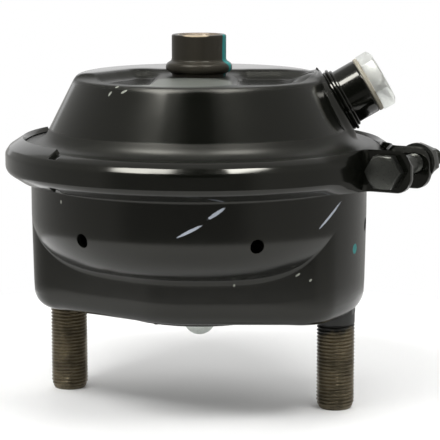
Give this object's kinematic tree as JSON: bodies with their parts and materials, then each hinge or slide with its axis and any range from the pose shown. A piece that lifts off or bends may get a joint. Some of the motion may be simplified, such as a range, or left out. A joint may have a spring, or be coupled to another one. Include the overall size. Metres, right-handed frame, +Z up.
{
  "type": "air brake chamber",
  "caption": "Diaphragm air brake chamber with clamp ring, mounting studs, axial air port, plugged angled port and spring-returned push rod.",
  "frame": {"origin": "centre of the mounting face, on the chamber's axis, midway between the two studs", "axes": "+Z up along the chamber's axis, towards the axial air port; +X along the line of the mounting studs, towards the side port and the clamp bolt"},
  "size_m": [0.1849, 0.164, 0.157],
  "materials": {
    "black_paint": "gloss",
    "phosphated_steel": "dull brown phosphate",
    "bright_zinc": "bright zinc",
    "plated_steel": "zinc plated",
    "spring_steel": "dark oiled",
    "black_rubber": "matte",
    "seal_fibre": "matte"
  },
  "bodies": {
    "chamber": {"lower_housing": "black_paint", "stud_plate": "plated_steel", "mounting_studs": "phosphated_steel", "cover": "black_paint", "axial_port_boss": "black_paint", "side_port_boss": "black_paint", "plug_seal_ring": "seal_fibre", "port_plug": "bright_zinc", "clamp_ring": "black_paint", "clamp_bolt": "black_paint", "clamp_washer": "black_paint", "clamp_nut": "black_paint", "diaphragm": "black_rubber", "spring_seat": "plated_steel", "return_spring": "spring_steel", "gaiter_lip": "black_rubber", "gaiter_retainer": "plated_steel", "gaiter": "black_rubber"},
    "pushrod": {"push_plate": "plated_steel", "pushrod": "bright_zinc", "gaiter_clip": "plated_steel"}
  },
  "joints": [
    {"name": "pushrod_stroke", "type": "slide", "parent": "chamber", "child": "pushrod", "axis": [0, 0, -1], "range_m": [0, 0.057], "stiffness_N_per_m": 2500, "springref_m": -0.05, "deforming": ["return_spring", "gaiter", "diaphragm"]}
  ]
}
